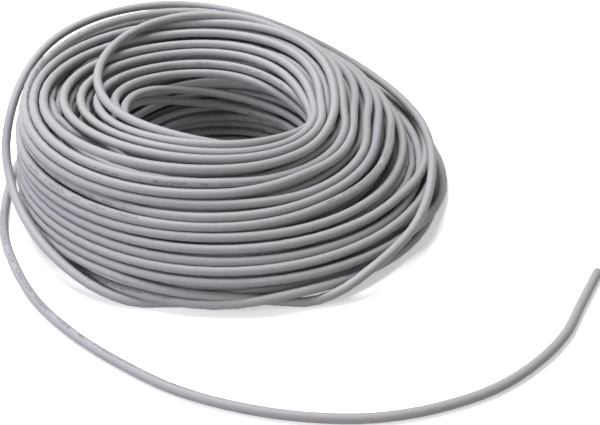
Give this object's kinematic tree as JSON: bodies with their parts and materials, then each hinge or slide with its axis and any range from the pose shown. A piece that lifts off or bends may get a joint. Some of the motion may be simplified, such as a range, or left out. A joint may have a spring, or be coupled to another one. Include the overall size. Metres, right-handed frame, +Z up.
{
  "type": "coiled control cable",
  "caption": "Loose ring of thin grey round control cable lying flat, with a slung outer turn and a free cut end, for wiring signals between devices.",
  "frame": {"origin": "on the floor under the middle of the ring's foot", "axes": "+Z up along the ring's axis, +X to the right and +Y to the back as the free end lies in front"},
  "size_m": [0.2676, 0.2724, 0.0587],
  "materials": {
    "sheath": "matte grey soft plastic",
    "core_white": "matte white soft plastic",
    "core_brown": "matte brown soft plastic",
    "core_green": "matte green soft plastic",
    "core_yellow": "matte yellow soft plastic",
    "conductor": "bare copper, freshly cut"
  },
  "bodies": {
    "root": {"coil": "sheath", "slung_turn": "sheath", "free_end": "sheath", "cut_end": "sheath", "core_1": "core_white", "core_2": "core_brown", "core_3": "core_green", "core_4": "core_yellow", "conductor_1": "conductor", "conductor_2": "conductor", "conductor_3": "conductor", "conductor_4": "conductor"}
  },
  "joints": []
}
